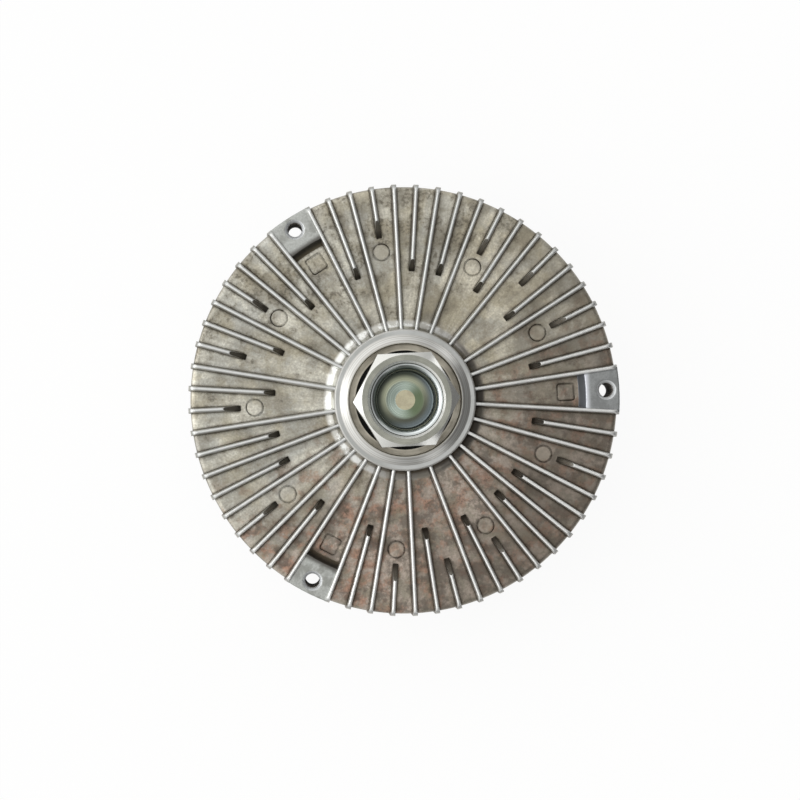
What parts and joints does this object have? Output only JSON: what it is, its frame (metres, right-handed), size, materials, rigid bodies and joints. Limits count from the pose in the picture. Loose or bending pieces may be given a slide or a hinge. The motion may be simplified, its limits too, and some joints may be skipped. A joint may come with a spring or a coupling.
{
  "type": "viscous fan clutch",
  "caption": "Round finned aluminium fan clutch with fan bolt lugs, a hexagon input shaft with a blind left-hand thread, and a bimetal coil that opens its oil valve.",
  "frame": {"origin": "centre of the circle of front fins on which the clutch stands", "axes": "+Z along the clutch axis from the front fins to the hexagon, +X through one fan lug"},
  "size_m": [0.153, 0.1532, 0.059],
  "materials": {
    "die_cast_aluminium": "as cast, mottled, with machined pads and boss",
    "plated_steel": "zinc plated and passivated",
    "bearing_steel": "ground, with an oily brown tint",
    "seal_rubber": "moulded black rubber",
    "sheet_steel": "pressed bright sheet",
    "bimetal_strip": "rolled strip with a coppery heat tint",
    "cage_brass": "pressed brass",
    "spring_steel": "blackened"
  },
  "bodies": {
    "housing": {"rear_housing": "die_cast_aluminium", "front_cover": "die_cast_aluminium", "cover_seal": "seal_rubber", "bearing_outer_ring": "bearing_steel", "bearing_rear_seal": "seal_rubber", "bearing_front_seal": "seal_rubber", "divider_plate": "sheet_steel", "divider_rivets": "sheet_steel", "pump_dam": "sheet_steel", "bimetal_coil": "bimetal_strip"},
    "rotor": {"input_shaft": "plated_steel", "bearing_inner_ring": "bearing_steel", "drive_disc": "die_cast_aluminium", "disc_ring": "spring_steel"},
    "ball_set": {"bearing_balls": "bearing_steel", "bearing_cage": "cage_brass"},
    "valve": {"valve_shaft": "plated_steel", "valve_lever": "sheet_steel", "valve_seal": "seal_rubber", "valve_clip": "spring_steel"}
  },
  "joints": [
    {"name": "rotor_spin", "type": "hinge", "parent": "housing", "child": "rotor", "pos_m": [0, 0, 0.036], "axis": [0, 0, 1], "continuous": true},
    {"name": "ball_orbit", "type": "hinge", "parent": "housing", "child": "ball_set", "pos_m": [0, 0, 0.036], "axis": [0, 0, 1], "continuous": true},
    {"name": "valve_turn", "type": "hinge", "parent": "housing", "child": "valve", "pos_m": [0, 0, 0.01], "axis": [0, 0, 1], "range_deg": [0, 35], "stiffness_Nm_per_rad": 0.02, "deforming": ["bimetal_coil"]}
  ],
  "couplings": [
    {"joint": "ball_orbit", "follows": "rotor_spin", "ratio": 0.3816}
  ]
}
